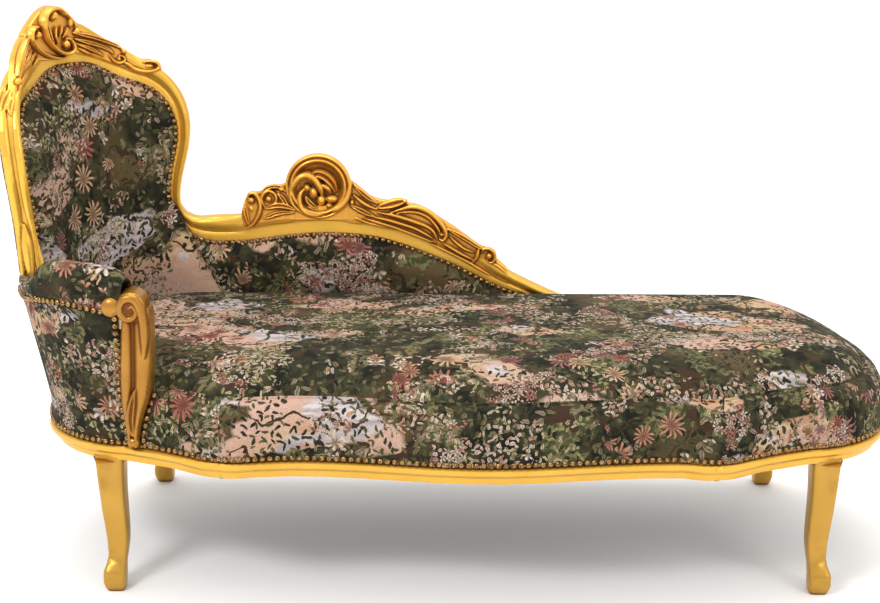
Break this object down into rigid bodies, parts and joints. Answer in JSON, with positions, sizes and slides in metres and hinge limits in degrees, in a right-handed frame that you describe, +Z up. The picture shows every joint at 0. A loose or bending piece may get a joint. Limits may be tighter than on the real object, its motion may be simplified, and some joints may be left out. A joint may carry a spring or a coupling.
{
  "type": "chaise longue",
  "caption": "Chaise longue with a carved gilded show-wood frame on cabriole legs, a tall wrapped back and arm at one end and a sweeping low back, upholstered in floral tapestry",
  "frame": {"origin": "on the floor, below the middle of the overall box", "axes": "+Z up, +X from the head end with the tall back to the foot end, +Y to the rear, where the low back runs"},
  "size_m": [1.7522, 0.7012, 1.08],
  "materials": {
    "gilded_wood": "gilded carved beech, burnished on the high parts, warm brown in the recesses",
    "frame_wood": "plain sawn beech, hidden under the upholstery",
    "tapestry": "woven floral tapestry, matt",
    "webbing": "jute webbing",
    "burlap": "coarse jute cloth",
    "foam": "upholstery foam under wadding",
    "dust_cloth": "thin black non-woven cloth"
  },
  "bodies": {
    "root": {"front_rail": "gilded_wood", "rear_rail": "gilded_wood", "head_rail": "gilded_wood", "foot_rail": "gilded_wood", "leg_front_head": "gilded_wood", "leg_rear_head": "gilded_wood", "leg_front_foot": "gilded_wood", "leg_rear_foot": "gilded_wood", "back_crest_rail": "gilded_wood", "back_stile_front": "gilded_wood", "back_stile_rear": "gilded_wood", "low_back_rail": "gilded_wood", "arm_post": "gilded_wood", "low_back_rocaille": "gilded_wood", "low_back_leaf": "gilded_wood", "low_back_acanthus": "gilded_wood", "crest_carving": "gilded_wood", "cross_rail_head": "frame_wood", "cross_rail_foot": "frame_wood", "rail_tenons": "frame_wood", "corner_blocks": "frame_wood", "stile_post_front": "frame_wood", "stile_post_rear": "frame_wood", "back_tacking_rail": "frame_wood", "low_back_struts": "frame_wood", "arm_rail": "frame_wood", "arm_pad": "tapestry", "arm_cover_inner": "tapestry", "seat_cover_border": "tapestry", "seat_cover_top": "tapestry", "back_cover_inner": "tapestry", "back_cover_outer": "tapestry", "head_cover_outer": "tapestry", "low_back_cover_inner": "tapestry", "low_back_cover_outer": "tapestry", "seat_webbing_long": "webbing", "seat_webbing_cross": "webbing", "back_webbing": "webbing", "seat_burlap": "burlap", "seat_foam": "foam", "back_foam": "foam", "low_back_foam": "foam", "dust_cover": "dust_cloth"}
  },
  "joints": []
}
